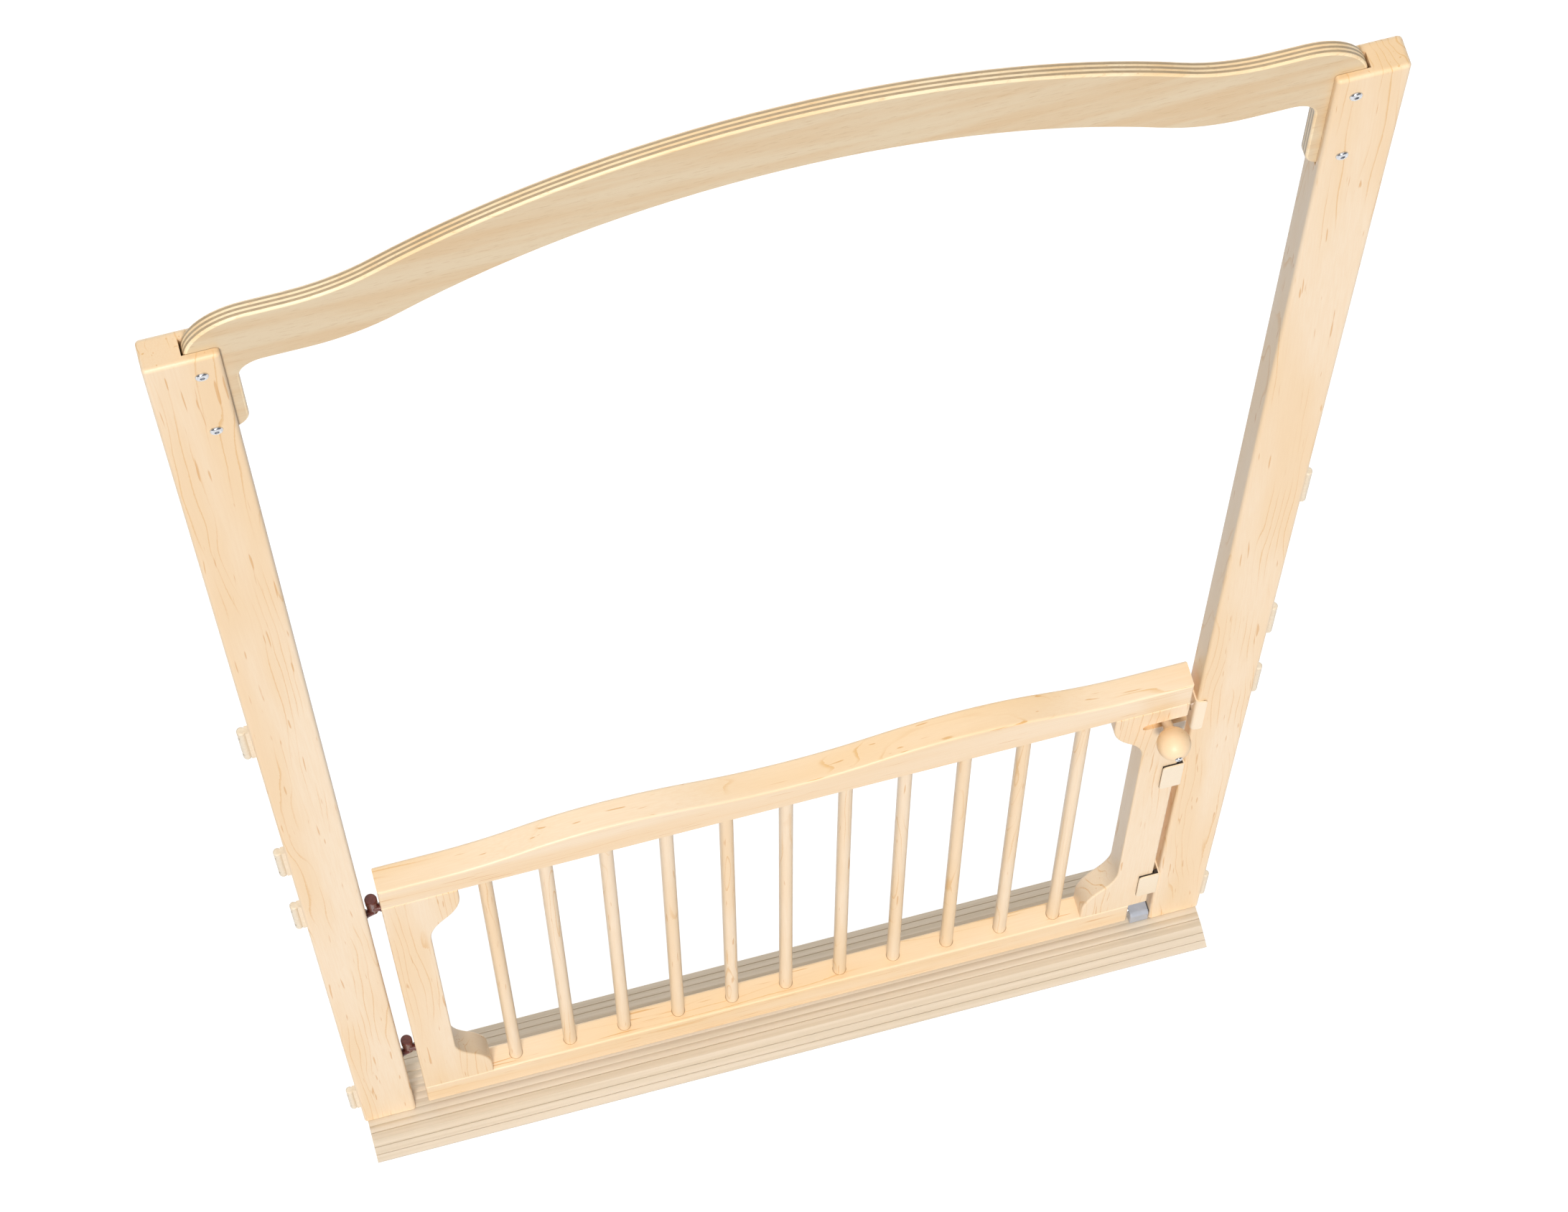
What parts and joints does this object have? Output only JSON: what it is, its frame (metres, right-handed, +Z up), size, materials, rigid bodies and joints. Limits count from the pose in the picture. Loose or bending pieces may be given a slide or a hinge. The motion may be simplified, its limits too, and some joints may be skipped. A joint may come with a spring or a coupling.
{
  "type": "safety baby gate",
  "caption": "Walk-through wooden child gate: spindled swing gate with slide latch between two tall posts, ramped sill and arched header.",
  "frame": {"origin": "on the floor, midway between the two posts and midway through their depth", "axes": "+X across the doorway from the hinge post to the latch post, +Y through it (the gate opens towards +Y), +Z up"},
  "size_m": [1.0868, 0.1334, 2.3406],
  "materials": {
    "maple": "clear satin lacquer on pale maple",
    "plywood": "clear satin lacquer on birch plywood",
    "knob_wood": "clear satin lacquer on turned hardwood",
    "sill": "beige extruded plastic",
    "connector": "cream moulded plastic",
    "cream_steel": "cream powder coat",
    "hinge_brown": "dark brown enamel",
    "catch_grey": "blue-grey moulded plastic",
    "zinc": "bright zinc plate",
    "rubber": "black moulded rubber",
    "dark_screw": "black phosphate",
    "spring_steel": "drawn wire"
  },
  "bodies": {
    "frame": {"left_post": "maple", "right_post": "maple", "arch_header": "plywood", "threshold": "sill", "arch_bolts": "zinc", "arch_sleeve_nuts": "zinc", "threshold_screws": "zinc", "left_connector_1": "connector", "left_connector_2": "connector", "left_connector_3": "connector", "left_connector_4": "connector", "left_connector_screws": "dark_screw", "right_connector_1": "connector", "right_connector_2": "connector", "right_connector_3": "connector", "right_connector_4": "connector", "right_connector_screws": "dark_screw", "upper_hinge_post_eye": "hinge_brown", "upper_hinge_pin": "hinge_brown", "lower_hinge_post_eye": "hinge_brown", "lower_hinge_pin": "hinge_brown", "strike_plate": "cream_steel", "strike_screws": "zinc", "upper_stop": "cream_steel", "lower_stop": "cream_steel", "stop_screws": "zinc", "stop_pads": "rubber", "catch_block": "catch_grey", "catch_cover": "rubber", "catch_screw": "zinc", "catch_spring": "spring_steel"},
    "plunger": {"catch_plunger": "zinc"},
    "gate": {"gate_top_rail": "maple", "gate_bottom_rail": "maple", "hinge_stile": "maple", "latch_stile": "maple", "spindle_01": "maple", "spindle_02": "maple", "spindle_03": "maple", "spindle_04": "maple", "spindle_05": "maple", "spindle_06": "maple", "spindle_07": "maple", "spindle_08": "maple", "spindle_09": "maple", "spindle_10": "maple", "spindle_11": "maple", "joint_pegs": "maple", "upper_hinge_gate_eye": "hinge_brown", "lower_hinge_gate_eye": "hinge_brown", "catch_keeper": "zinc", "keeper_screws": "zinc"},
    "latch": {"latch_bolt": "zinc", "knob_bolt": "zinc", "latch_knob": "knob_wood"}
  },
  "joints": [
    {"name": "gate_swing", "type": "hinge", "parent": "frame", "child": "gate", "pos_m": [-0.4582, 0.0085, 0.4], "axis": [0, 0, 1], "range_deg": [0, 95]},
    {"name": "latch_slide", "type": "slide", "parent": "gate", "child": "latch", "axis": [1, 0, 0], "range_m": [-0.021, 0.014]},
    {"name": "catch_plunge", "type": "slide", "parent": "frame", "child": "plunger", "axis": [1, 0, 0], "range_m": [0, 0.004], "stiffness_N_per_m": 600, "springref_m": -0.003, "deforming": ["catch_spring"]}
  ]
}
